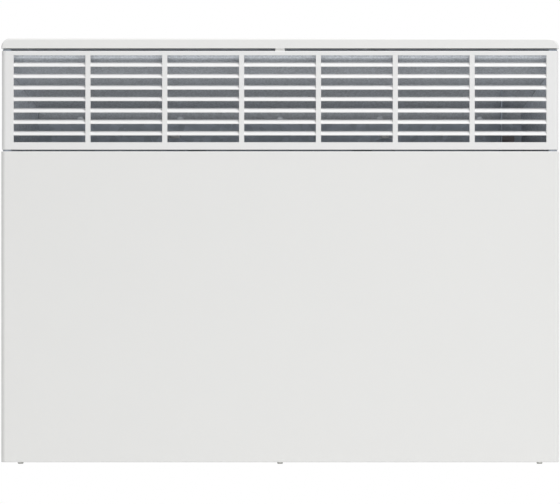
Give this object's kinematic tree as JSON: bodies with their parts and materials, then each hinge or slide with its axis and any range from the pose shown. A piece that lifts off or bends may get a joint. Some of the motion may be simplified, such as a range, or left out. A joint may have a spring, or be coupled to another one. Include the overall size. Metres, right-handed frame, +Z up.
{
  "type": "wall panel convector heater",
  "caption": "Slim wall-hung convector heater: a painted sheet-steel box with a louvred outlet across the upper front, a finned element inside, top controls and a wall bracket.",
  "frame": {"origin": "on the wall, midway between the four wall screws", "axes": "+X to the right seen from the front, +Y out of the back into the wall, +Z up; the front faces -Y"},
  "size_m": [0.58, 0.1, 0.4428],
  "materials": {
    "white_painted_steel": "satin",
    "white_plastic": "satin",
    "grey_plastic": "satin",
    "galvanised_steel": "satin",
    "zinc_plated_steel": "satin",
    "rod_steel": "satin",
    "anodised_aluminium": "matte",
    "ceramic_white": "matte",
    "board_laminate": "satin",
    "black_plastic": "satin",
    "lens_plastic": "gloss",
    "brass": "satin"
  },
  "bodies": {
    "heater": {"rear_casing": "galvanised_steel", "casing_end_right": "galvanised_steel", "casing_end_left": "galvanised_steel", "top_cap": "white_plastic", "grille_panel": "white_painted_steel", "front_panel": "white_painted_steel", "seam_clip": "white_plastic", "bottom_screws": "zinc_plated_steel", "cap_screws": "zinc_plated_steel", "casing_rivets": "anodised_aluminium", "inlet_grille": "galvanised_steel", "heat_deflector": "galvanised_steel", "side_deflector_right": "galvanised_steel", "side_deflector_left": "galvanised_steel", "partition": "galvanised_steel", "thermal_cutout": "black_plastic", "heating_element": "anodised_aluminium", "heating_rod": "rod_steel", "element_bushes": "ceramic_white", "element_bracket_left": "galvanised_steel", "element_bracket_right": "galvanised_steel", "hanger_left": "galvanised_steel", "hanger_right": "galvanised_steel", "hanger_insulators": "ceramic_white", "hanger_screws": "zinc_plated_steel", "control_fascia": "white_plastic", "control_board": "board_laminate", "indicator_lens": "lens_plastic", "switch_body": "black_plastic", "cord_gland": "black_plastic", "terminal_block": "ceramic_white", "supply_leads": "grey_plastic", "earth_stud": "brass", "sensor_clip": "grey_plastic", "room_sensor": "black_plastic", "wall_bracket": "white_painted_steel"},
    "thermostat_knob": {"thermostat_knob": "white_plastic", "knob_spindle": "black_plastic"},
    "mode_slider": {"mode_slider": "grey_plastic"},
    "power_rocker": {"power_rocker": "grey_plastic"},
    "latch_left": {"latch_left": "white_plastic"},
    "latch_right": {"latch_right": "white_plastic"}
  },
  "joints": [
    {"name": "thermostat_turn", "type": "hinge", "parent": "heater", "child": "thermostat_knob", "pos_m": [0.188, -0.053, 0.2025], "axis": [0, 0, -1], "range_deg": [0, 270]},
    {"name": "mode_slide", "type": "slide", "parent": "heater", "child": "mode_slider", "axis": [1, 0, 0], "range_m": [0, 0.012]},
    {"name": "power_rock", "type": "hinge", "parent": "heater", "child": "power_rocker", "pos_m": [0.256, -0.053, 0.2015], "axis": [0, -1, 0], "range_deg": [0, 14]},
    {"name": "latch_right_turn", "type": "hinge", "parent": "heater", "child": "latch_right", "pos_m": [0.11, -0.009, 0.112], "axis": [0, 0, 1], "range_deg": [0, 90]},
    {"name": "latch_left_turn", "type": "hinge", "parent": "heater", "child": "latch_left", "pos_m": [-0.11, -0.009, 0.112], "axis": [0, 0, -1], "range_deg": [0, 90]}
  ]
}
